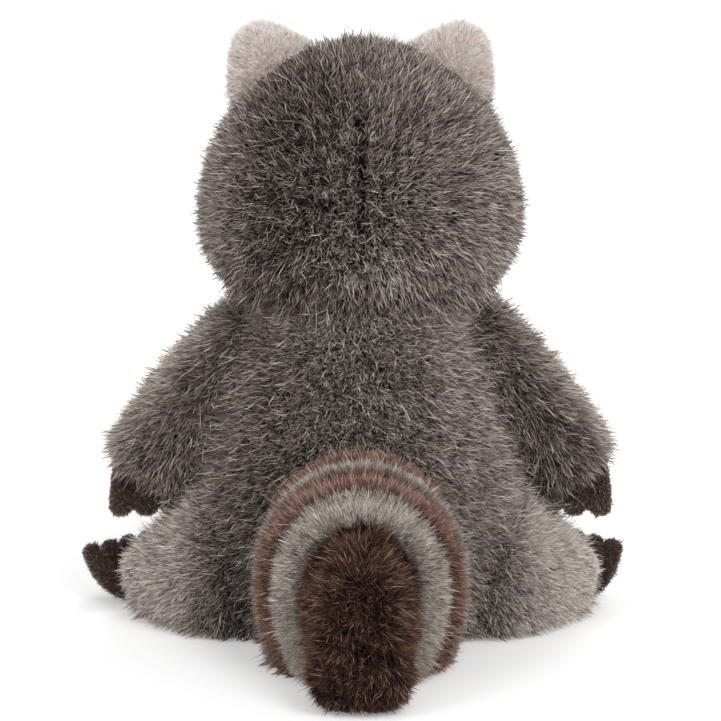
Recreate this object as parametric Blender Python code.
"""A plush raccoon, sitting: a stuffed toy sewn from long-pile plush.

It faces -Y and sits on the plane Z = 0, with the origin at the middle of its seat. Its own left is +X.
Every sewn piece is one stuffed solid with the outer shape of its pile. Lengths are in metres.
"""

import math

import bmesh
import bpy
from mathutils import Matrix, Vector

# Between two pieces that are sewn together
SEAM_GAP = 0.0003

# Torso: a pear, widest at the hip, with a flat seat
TORSO_HEIGHT = 0.166
HIP_HEIGHT = 0.040
HIP_WIDTH = 0.154
HIP_DEPTH = 0.118
CHEST_HEIGHT = 0.100
CHEST_WIDTH = 0.130
CHEST_DEPTH = 0.104
NECK_WIDTH = 0.104
NECK_DEPTH = 0.100

# Head: a wide egg with full cheeks
HEAD_WIDTH = 0.144
HEAD_DEPTH = 0.122
HEAD_CROWN = 0.0795
HEAD_JOWL = 0.045
HEAD_OVER_NECK = 0.024
CROWN_FULLNESS = 1.9
JOWL_FULLNESS = 2.4

# Ears: cupped and rounded, on the upper corners of the head
EAR_LENGTH = 0.022
EAR_WIDTH = 0.050
EAR_THICKNESS = 0.015
EAR_SINK = 0.018
EAR_CUP = 0.005
EAR_SPLAY = math.radians(30)
EAR_SIDE = 0.0400
EAR_BACK = 0.002

# Face: mask patches, muzzle, nose and eyes
MASK_THICKNESS = 0.0030
MASK_WIDTH = 0.046
MASK_HEIGHT = 0.034
MASK_DROOP = math.radians(24)
EYE_SIDE = math.radians(26)
EYE_RISE = math.radians(2)
EYE_DIAMETER = 0.013
EYE_PROUD = 0.0045
MUZZLE_WIDTH = 0.048
MUZZLE_HEIGHT = 0.034
MUZZLE_DEPTH = 0.044
MUZZLE_DROP = math.radians(15)
NOSE_WIDTH = 0.018
NOSE_HEIGHT = 0.013
NOSE_DEPTH = 0.012
NOSE_RISE = math.radians(24)

# Arms: they hang down and out from the shoulders
SHOULDER_DROP = 0.022
SHOULDER_INSET = 0.0225
ARM_LENGTH = 0.097
ARM_SPREAD = math.radians(36)
ARM_FORWARD = math.radians(7)
ARM_TOP_WIDTH = 0.044
ARM_END_WIDTH = 0.046
ARM_THICKNESS = 0.040

# Hands: a flat palm in the sleeve of the arm with four fingers
FINGER_COUNT = 4
FINGER_WIDTH = 0.0112
FINGER_LENGTH = 0.026
FINGER_PITCH = 0.0104
FINGER_FAN = math.radians(4)
FINGER_CURL = 0.0
PALM_WIDTH = 0.040
PALM_LENGTH = 0.030
PALM_THICKNESS = 0.013
PALM_SINK = 0.006
HAND_INSIDE_SLEEVE = 0.010
RIGHT_HAND_TURN = math.radians(4)
LEFT_HAND_TURN = math.radians(7)

# Legs: splayed out and forward along the ground, at four evenly spaced stations from the hip to the ankle.
# Each station is (to the side, to the back, width, height).
LEG_STATIONS = (
    (0.036, 0.020, 0.078, 0.074),
    (0.058, 0.002, 0.078, 0.066),
    (0.083, -0.019, 0.068, 0.052),
    (0.101, -0.040, 0.048, 0.034),
)
LEG_SQUASH = 0.6
LEG_BASE = 0.5

# Feet: the sole faces out, forward and down, with four toes turned up
SOLE_TURN = math.radians(42)
RIGHT_SOLE_LEAN = math.radians(48)
LEFT_SOLE_LEAN = math.radians(63)
SOLE_WIDTH = 0.042
SOLE_LENGTH = 0.034
SOLE_THICKNESS = 0.014
SOLE_HEIGHT = 0.0105
RIGHT_SOLE_OUT = 0.003
LEFT_SOLE_OUT = 0.011
TOE_COUNT = 4
TOE_WIDTH = 0.0104
TOE_LENGTH = 0.023
TOE_PITCH = 0.0108
TOE_FAN = math.radians(4)
TOE_CURL = math.radians(22)

# Tail: puffy sewn bands that lie on the ground, at five evenly spaced stations from the root to the end.
# Each station is (height of the axis, width, height of the section). The base squares the half that lies below.
TAIL_ROOT_INSIDE = 0.022
TAIL_LENGTH = 0.126
TAIL_STATIONS = (
    (0.044, 0.092, 0.106),
    (0.042, 0.096, 0.107),
    (0.039, 0.086, 0.094),
    (0.035, 0.050, 0.073),
    (0.034, 0.048, 0.071),
)
TAIL_BASE = 0.3
TAIL_SEAM_DEPTH = 0.003
TAIL_FIRST_SHARE = 0.012
TAIL_LAST_SHARE = 0.996
TAIL_BAND_SHARES = (
    ("tail_root_band", "brown_plush", 0.0, 0.31),
    ("tail_grey_band_inner", "pale_plush", 0.31, 0.41),
    ("tail_brown_band", "brown_plush", 0.41, 0.54),
    ("tail_grey_band_outer", "pale_plush", 0.54, 0.70),
    ("tail_tip", "tip_plush", 0.70, 1.0),
)

# Facets round and along each kind of piece
BODY_FACETS = (32, 15)
LIMB_FACETS = (24, 12)
DIGIT_FACETS = (8, 6)
SMALL_FACETS = (18, 10)
TAIL_FACETS = (30, 6)

# Colour (linear RGB), roughness and metallic value of each material
FINISHES = {
    "grey_plush": ((0.085, 0.068, 0.060), 0.95, 0.0),
    "ear_plush": ((0.52, 0.44, 0.39), 0.95, 0.0),
    "paw_plush": ((0.035, 0.024, 0.020), 0.9, 0.0),
    "brown_plush": ((0.130, 0.070, 0.052), 0.95, 0.0),
    "pale_plush": ((0.240, 0.200, 0.175), 0.95, 0.0),
    "tip_plush": ((0.030, 0.013, 0.009), 0.95, 0.0),
    "mask_plush": ((0.030, 0.019, 0.015), 0.95, 0.0),
    "muzzle_plush": ((0.62, 0.55, 0.48), 0.95, 0.0),
    "nose_plush": ((0.012, 0.009, 0.008), 0.6, 0.0),
    "eye_plastic": ((0.006, 0.005, 0.005), 0.12, 0.0),
}

UP = Vector((0, 0, 1))


def clear_scene():
    """Empties the scene of the objects that it opened with."""
    for obj in list(bpy.data.objects):
        bpy.data.objects.remove(obj)


def finish_of(slot):
    """The material of a slot, made when it is first used."""
    found = bpy.data.materials.get(slot)
    if found:
        return found
    colour, roughness, metallic = FINISHES[slot]
    material = bpy.data.materials.new(slot)
    material.use_nodes = True
    shader = material.node_tree.nodes["Principled BSDF"]
    shader.inputs["Base Color"].default_value = (*colour, 1)
    shader.inputs["Roughness"].default_value = roughness
    shader.inputs["Metallic"].default_value = metallic
    material.diffuse_color = (*colour, 1)
    return material


def piece(name, shape, slot):
    """A named object of a finished bmesh, shaded smooth, with its material."""
    bmesh.ops.recalc_face_normals(shape, faces=shape.faces)
    mesh = bpy.data.meshes.new(name)
    shape.to_mesh(mesh)
    shape.free()
    mesh.shade_smooth()
    mesh.materials.append(finish_of(slot))
    obj = bpy.data.objects.new(name, mesh)
    bpy.context.scene.collection.objects.link(obj)
    return obj


def as_guide(obj):
    """Marks a cutter, which no render shows."""
    obj.hide_render = True
    obj.display_type = "WIRE"
    return obj


def grown(obj, distance):
    """A cutter with the shape of a piece, pushed out by a distance along its normals."""
    shape = bmesh.new()
    shape.from_mesh(obj.data)
    shape.normal_update()
    moves = [vert.normal * distance for vert in shape.verts]
    for vert, move in zip(shape.verts, moves):
        vert.co += move
    mesh = bpy.data.meshes.new(obj.name + "_cutter")
    shape.to_mesh(mesh)
    shape.free()
    cutter = bpy.data.objects.new(mesh.name, mesh)
    bpy.context.scene.collection.objects.link(cutter)
    return as_guide(cutter)


def combine(obj, other, operation):
    """Keeps (INTERSECT), cuts (DIFFERENCE) or joins (UNION) a piece with another shape."""
    step = obj.modifiers.new(operation.lower(), "BOOLEAN")
    step.operation = operation
    step.object = other
    step.solver = "EXACT"


def settle(obj):
    """Turns a piece's Booleans into its mesh, so that a cutter can be grown from it."""
    mesh = bpy.data.meshes.new_from_object(obj.evaluated_get(bpy.context.evaluated_depsgraph_get()))
    obj.modifiers.clear()
    obj.data = mesh
    return obj


def seat_on(obj, *carriers):
    """Cuts a piece back to the pieces that it is sewn to, by the seam gap."""
    for carrier in carriers:
        combine(obj, grown(carrier, SEAM_GAP), "DIFFERENCE")


def flatten_seat(shape):
    """Cuts a shape off at the ground and closes it with a flat face."""
    everything = shape.verts[:] + shape.edges[:] + shape.faces[:]
    cut = bmesh.ops.bisect_plane(shape, geom=everything, plane_co=(0, 0, 0), plane_no=UP, clear_inner=True)
    rim = [part for part in cut["geom_cut"] if isinstance(part, bmesh.types.BMEdge)]
    if rim:
        bmesh.ops.edgeloop_fill(shape, edges=rim)


def through(keys, share):
    """A smooth curve through evenly spaced rows of numbers, read at a share of its length."""
    spot = share * (len(keys) - 1)
    first = min(int(spot), len(keys) - 2)
    t = spot - first
    rows = [keys[min(max(first + k, 0), len(keys) - 1)] for k in (-1, 0, 1, 2)]
    return [
        0.5 * (2 * b + (c - a) * t + (2 * a - 5 * b + 4 * c - d) * t**2 + (3 * b - a - 3 * c + d) * t**3)
        for a, b, c, d in zip(*rows)
    ]


def section(centre, across, along, half_width, half_depth, count, cup=0.0, base=1.0):
    """A ring of points: an ellipse over across and along, bent towards along by cup at its two sides.

    A base below 1 squares the half that lies towards along.
    """
    ring = []
    for i in range(count):
        angle = 2 * math.pi * i / count
        side = math.cos(angle)
        if math.sin(angle) > 0:
            side = math.copysign(abs(side) ** base, side)
        bend = cup * side**2
        ring.append(centre + across * (half_width * side) + along * (half_depth * math.sin(angle) + bend))
    return ring


def skin_over(rings):
    """A closed bmesh over a row of rings, each with as many points as the last, with a flat cap at each end."""
    shape = bmesh.new()
    loops = [[shape.verts.new(point) for point in ring] for ring in rings]
    count = len(loops[0])
    for near, far in zip(loops, loops[1:]):
        for i in range(count):
            after = (i + 1) % count
            shape.faces.new((near[i], near[after], far[after], far[i]))
    shape.faces.new(loops[0][::-1])
    shape.faces.new(loops[-1])
    return shape


def stuffed_rings(keys, side, fullness, facets, start=0.0, end=1.0, cup=0.0, scallop=None, base=1.0):
    """The rings of a stuffed shape that swells round an axis.

    Each key is (x, y, z, half width, half depth). Width lies along side, depth square to side and to the axis.
    Fullness rounds the two ends: 2 gives an egg, 4 a sausage. Rings crowd together where the ends close.
    """
    around, along = facets
    rings = []
    for i in range(along + 1):
        share = start + (end - start) * i / along
        if start == 0.0 and end == 1.0:
            share = 0.5 - 0.5 * math.cos(math.pi * (i + 0.35) / (along + 0.7))
        x, y, z, half_width, half_depth = through(keys, share)
        here = Vector((x, y, z))
        ahead = Vector(through(keys, min(share + 0.01, 1.0))[:3])
        behind = Vector(through(keys, max(share - 0.01, 0.0))[:3])
        axis = (ahead - behind).normalized()
        across = (side - axis * side.dot(axis)).normalized()
        depth = axis.cross(across)
        swell = (1 - abs(2 * share - 1) ** fullness) ** (1 / fullness)
        inset = scallop(i / along) if scallop else 0.0
        rings.append(
            section(here, across, depth, half_width * swell - inset, half_depth * swell - inset, around, cup, base)
        )
    return rings


def egg(centre, half_width, half_depth, rise, drop, facets, fullness=(2.0, 2.0), turn=None):
    """A closed bmesh egg on a vertical axis: rise above its centre, drop below it, with a fullness for each half.

    Turn is a rotation about its centre.
    """
    around, along = facets
    rings = []
    for i in range(along + 1):
        angle = math.pi * ((i + 0.35) / (along + 0.7) - 0.5)
        power = 2 / fullness[0 if angle > 0 else 1]
        level = math.copysign(abs(math.sin(angle)) ** power, angle)
        swell = math.cos(angle) ** power
        height = level * (rise if level > 0 else drop)
        rings.append(section(Vector((0, 0, height)), Vector((1, 0, 0)), Vector((0, 1, 0)),
                             half_width * swell, half_depth * swell, around))
    shape = skin_over(rings)
    if turn:
        bmesh.ops.transform(shape, matrix=turn.to_4x4(), verts=shape.verts)
    bmesh.ops.translate(shape, vec=centre, verts=shape.verts)
    return shape


def head_centre():
    return Vector((0, 0, TORSO_HEIGHT + HEAD_OVER_NECK))


def on_head(sideways, rise):
    """A point on the face side of the head, by its angle to the side and above the head's centre, and its outward normal."""
    way = Vector((math.sin(sideways) * math.cos(rise), -math.cos(sideways) * math.cos(rise), math.sin(rise)))
    reach = Vector((HEAD_WIDTH / 2, HEAD_DEPTH / 2, HEAD_CROWN if way.z > 0 else HEAD_JOWL))
    full = CROWN_FULLNESS if way.z > 0 else JOWL_FULLNESS
    level = math.hypot(way.x / reach.x, way.y / reach.y)
    spot = way / (level**full + abs(way.z / reach.z) ** full) ** (1 / full)
    flat = math.hypot(spot.x / reach.x, spot.y / reach.y)
    pull = flat ** (full - 2)
    tilt = math.copysign(abs(spot.z / reach.z) ** (full - 1) / reach.z, spot.z)
    normal = Vector((pull * spot.x / reach.x**2, pull * spot.y / reach.y**2, tilt))
    return head_centre() + spot, normal.normalized()


def make_torso():
    """A pear that swells from the neck to the hip and is flat where it sits."""
    keys = []
    for height, width, depth in (
        (-HIP_HEIGHT, HIP_WIDTH, HIP_DEPTH),
        (HIP_HEIGHT, HIP_WIDTH, HIP_DEPTH),
        (CHEST_HEIGHT, CHEST_WIDTH, CHEST_DEPTH),
        (TORSO_HEIGHT, NECK_WIDTH, NECK_DEPTH),
    ):
        keys.append((0, 0, height, width / 2, depth / 2))
    shape = skin_over(stuffed_rings(keys, Vector((1, 0, 0)), 3.2, BODY_FACETS))
    flatten_seat(shape)
    return piece("torso", shape, "grey_plush")


def make_head():
    shape = egg(head_centre(), HEAD_WIDTH / 2, HEAD_DEPTH / 2, HEAD_CROWN, HEAD_JOWL, BODY_FACETS,
                (CROWN_FULLNESS, JOWL_FULLNESS))
    return piece("head", shape, "grey_plush")


def make_ear(name, sign):
    """A stuffed, rounded triangle whose front is cupped."""
    reach = EAR_SIDE / (HEAD_WIDTH / 2)
    height = HEAD_CROWN * (1 - reach**CROWN_FULLNESS) ** (1 / CROWN_FULLNESS)
    foot = head_centre() + Vector((sign * EAR_SIDE, EAR_BACK, height))
    way = Vector((sign * math.sin(EAR_SPLAY), 0, math.cos(EAR_SPLAY)))
    keys = []
    for share, width in ((0, 1.0), (0.33, 0.96), (0.67, 0.70), (1, 0.36)):
        spot = foot + way * (share * (EAR_LENGTH + EAR_SINK) - EAR_SINK)
        keys.append((*spot, width * EAR_WIDTH / 2, EAR_THICKNESS / 2))
    side = Vector((way.z, 0, -way.x))
    rings = stuffed_rings(keys, side, 3.2, SMALL_FACETS, cup=-EAR_CUP)
    return piece(name, skin_over(rings), "ear_plush")


def make_arm(name, sign):
    """A long stuffed sleeve from the shoulder to the wrist. It returns the place of the wrist too."""
    shoulder = Vector((sign * (CHEST_WIDTH / 2 - SHOULDER_INSET), 0, TORSO_HEIGHT - SHOULDER_DROP))
    way = Vector((sign * math.sin(ARM_SPREAD), -math.sin(ARM_FORWARD), -math.cos(ARM_SPREAD))).normalized()
    keys = []
    for share, width in ((0, ARM_TOP_WIDTH), (0.5, ARM_TOP_WIDTH), (1, ARM_END_WIDTH)):
        keys.append((*(shoulder + way * (share * ARM_LENGTH)), width / 2, ARM_THICKNESS / 2))
    rings = stuffed_rings(keys, Vector((1, 0, 0)), 4.5, LIMB_FACETS)
    return piece(name, skin_over(rings), "grey_plush"), shoulder + way * (ARM_LENGTH - HAND_INSIDE_SLEEVE)


def make_digits(name, palm, frame, count, width, length, pitch, fan, curl, root):
    """A palm or sole joined to a row of stuffed digits. The frame's X runs across the row and its Z along the digits."""
    hand = piece(name, palm, "paw_plush")
    for i in range(count):
        place = i - (count - 1) / 2
        lean = Matrix.Rotation(curl, 3, "X") @ Matrix.Rotation(place * fan, 3, "Y")
        start = frame @ Vector((place * pitch, 0, root))
        end = frame @ (Vector((place * pitch, 0, root)) + lean @ Vector((0, 0, length)))
        keys = [(*start.lerp(end, share), width / 2, width / 2) for share in (0, 0.5, 1)]
        across = (frame.to_3x3() @ Vector((1, 0, 0))).normalized()
        digit = piece(f"{name}_digit_{i}", skin_over(stuffed_rings(keys, across, 3.6, DIGIT_FACETS)), "paw_plush")
        combine(hand, as_guide(digit), "UNION")
    return settle(hand)


def make_hand(name, wrist, turn):
    """A flat hand that hangs from the end of the arm, turned about the vertical."""
    frame = Matrix.Translation(wrist) @ Matrix.Rotation(turn, 4, "Z") @ Matrix.Rotation(math.pi, 4, "Y")
    shape = egg(Vector((0, 0, PALM_SINK)), PALM_WIDTH / 2, PALM_THICKNESS / 2, PALM_LENGTH / 2, PALM_LENGTH / 2,
                SMALL_FACETS, (2.6, 2.6))
    bmesh.ops.transform(shape, matrix=frame, verts=shape.verts)
    root = PALM_SINK - FINGER_WIDTH / 2
    return make_digits(name, shape, frame, FINGER_COUNT, FINGER_WIDTH, FINGER_LENGTH, FINGER_PITCH, FINGER_FAN,
                       FINGER_CURL, root)


def make_leg(name, sign):
    """A stuffed haunch, squashed flat below, that tapers along the ground. It returns the place of the ankle too."""
    keys = []
    for side, back, width, height in LEG_STATIONS:
        half_height = height / (1 + LEG_SQUASH)
        keys.append((sign * side, back, half_height * LEG_SQUASH, width / 2, half_height))
    outward = Vector(keys[-1][:2]) - Vector(keys[0][:2])
    across = Vector((outward.y, -outward.x, 0)).normalized()
    shape = skin_over(stuffed_rings(keys, across, 3.2, LIMB_FACETS, base=LEG_BASE))
    flatten_seat(shape)
    return piece(name, shape, "grey_plush"), Vector((keys[-1][0], keys[-1][1], 0))


def rest_on_ground(obj):
    """Lifts or lowers a piece until its lowest point touches the ground."""
    obj.data.transform(Matrix.Translation(-UP * min(vert.co.z for vert in obj.data.vertices)))
    return obj


def make_foot(name, sign, ankle, lean, out):
    """A sole with toes, leaning out from the end of the leg."""
    facing = Vector((sign * math.cos(SOLE_TURN), -math.sin(SOLE_TURN), 0))
    toes = facing * math.sin(lean) + UP * math.cos(lean)
    normal = facing * math.cos(lean) - UP * math.sin(lean)
    across = toes.cross(normal)
    frame = Matrix((across, normal, toes)).transposed().to_4x4()
    if frame.to_3x3().determinant() < 0:
        frame = Matrix((-across, normal, toes)).transposed().to_4x4()
    frame.translation = Vector((ankle.x, ankle.y, 0)) + facing * out + UP * SOLE_HEIGHT
    shape = egg(Vector(), SOLE_WIDTH / 2, SOLE_THICKNESS / 2, SOLE_LENGTH / 2, SOLE_LENGTH / 2, SMALL_FACETS,
                (2.6, 2.6))
    bmesh.ops.transform(shape, matrix=frame, verts=shape.verts)
    foot = make_digits(name, shape, frame, TOE_COUNT, TOE_WIDTH, TOE_LENGTH, TOE_PITCH, TOE_FAN, TOE_CURL,
                       -TOE_WIDTH / 2)
    return rest_on_ground(foot)


def make_tail():
    """Puffy bands, each drawn in at its two seams. The first starts inside the torso."""
    keys = []
    for i, (height, width, depth) in enumerate(TAIL_STATIONS):
        back = HIP_DEPTH / 2 - TAIL_ROOT_INSIDE + TAIL_LENGTH * i / (len(TAIL_STATIONS) - 1)
        keys.append((0, back, height, width / 2, depth / 2))
    half_gap = SEAM_GAP / 2 / TAIL_LENGTH
    bands = []
    for name, slot, first, last in TAIL_BAND_SHARES:
        def drawn_in(u, opens=first > 0, closes=last < 1):
            near = opens * (1 - u) ** 3
            far = closes * u**3
            return TAIL_SEAM_DEPTH * (near + far)

        low = first + half_gap if first > 0 else TAIL_FIRST_SHARE
        high = last - half_gap if last < 1 else TAIL_LAST_SHARE
        rings = stuffed_rings(keys, Vector((1, 0, 0)), 3.0, TAIL_FACETS, low, high,
                              scallop=drawn_in, base=TAIL_BASE)
        shape = skin_over(rings)
        flatten_seat(shape)
        bands.append(piece(name, shape, slot))
    return bands


def make_mask(name, sign, head, muzzle):
    """A thin patch of plush that follows the head round the eye."""
    eye, normal = on_head(sign * EYE_SIDE, EYE_RISE)
    turn = Vector((0, -1, 0)).rotation_difference(normal).to_matrix()
    turn = turn @ Matrix.Rotation(sign * MASK_DROOP, 3, "Y")
    outline = piece(
        name + "_outline",
        egg(eye, MASK_WIDTH / 2, MASK_HEIGHT, MASK_HEIGHT / 2, MASK_HEIGHT / 2, SMALL_FACETS, (2.2, 2.2), turn),
        "mask_plush",
    )
    mask = grown(head, MASK_THICKNESS)
    mask.name = name
    mask.hide_render = False
    mask.display_type = "TEXTURED"
    mask.data.shade_smooth()
    mask.data.materials.clear()
    mask.data.materials.append(finish_of("mask_plush"))
    combine(mask, as_guide(outline), "INTERSECT")
    seat_on(mask, head, muzzle)
    return mask


def make_muzzle():
    spot, _ = on_head(0, -MUZZLE_DROP)
    shape = egg(spot, MUZZLE_WIDTH / 2, MUZZLE_DEPTH / 2, MUZZLE_HEIGHT / 2, MUZZLE_HEIGHT / 2, SMALL_FACETS,
                (2.2, 2.2))
    return piece("muzzle", shape, "muzzle_plush"), spot


def make_nose(muzzle_spot):
    centre = muzzle_spot + Vector((0, -math.cos(NOSE_RISE) * MUZZLE_DEPTH, math.sin(NOSE_RISE) * MUZZLE_HEIGHT)) / 2
    shape = egg(centre, NOSE_WIDTH / 2, NOSE_DEPTH / 2, NOSE_HEIGHT / 2, NOSE_HEIGHT / 2, DIGIT_FACETS,
                (2.3, 2.3))
    return piece("nose", shape, "nose_plush")


def make_eye(name, sign):
    spot, normal = on_head(sign * EYE_SIDE, EYE_RISE)
    centre = spot + normal * (MASK_THICKNESS + EYE_PROUD - EYE_DIAMETER / 2)
    half = EYE_DIAMETER / 2
    return piece(name, egg(centre, half, half, half, half, DIGIT_FACETS), "eye_plastic")


def main():
    clear_scene()
    torso = make_torso()
    head = make_head()
    seat_on(head, torso)
    muzzle, muzzle_spot = make_muzzle()
    seat_on(muzzle, head)
    nose = make_nose(muzzle_spot)
    seat_on(nose, muzzle)
    over_mask = grown(head, MASK_THICKNESS + SEAM_GAP)
    limbs = []
    for side, sign, hand_turn, sole_lean, sole_out in (
        ("left", 1, LEFT_HAND_TURN, LEFT_SOLE_LEAN, LEFT_SOLE_OUT),
        ("right", -1, RIGHT_HAND_TURN, RIGHT_SOLE_LEAN, RIGHT_SOLE_OUT),
    ):
        ear = make_ear(f"{side}_ear", sign)
        seat_on(ear, head)
        make_mask(f"{side}_eye_mask", sign, head, muzzle)
        eye = make_eye(f"{side}_eye", sign)
        combine(eye, over_mask, "DIFFERENCE")
        arm, wrist = make_arm(f"{side}_arm", sign)
        hand = make_hand(f"{side}_hand", wrist, sign * hand_turn)
        seat_on(hand, torso)
        settle(hand)
        seat_on(arm, torso, head, hand)
        leg, ankle = make_leg(f"{side}_leg", sign)
        seat_on(leg, torso, arm, hand)
        foot = make_foot(f"{side}_foot", sign, ankle, sole_lean, sole_out)
        seat_on(foot, leg)
        limbs += [leg]
    for band in make_tail():
        seat_on(band, torso, *limbs)


main()
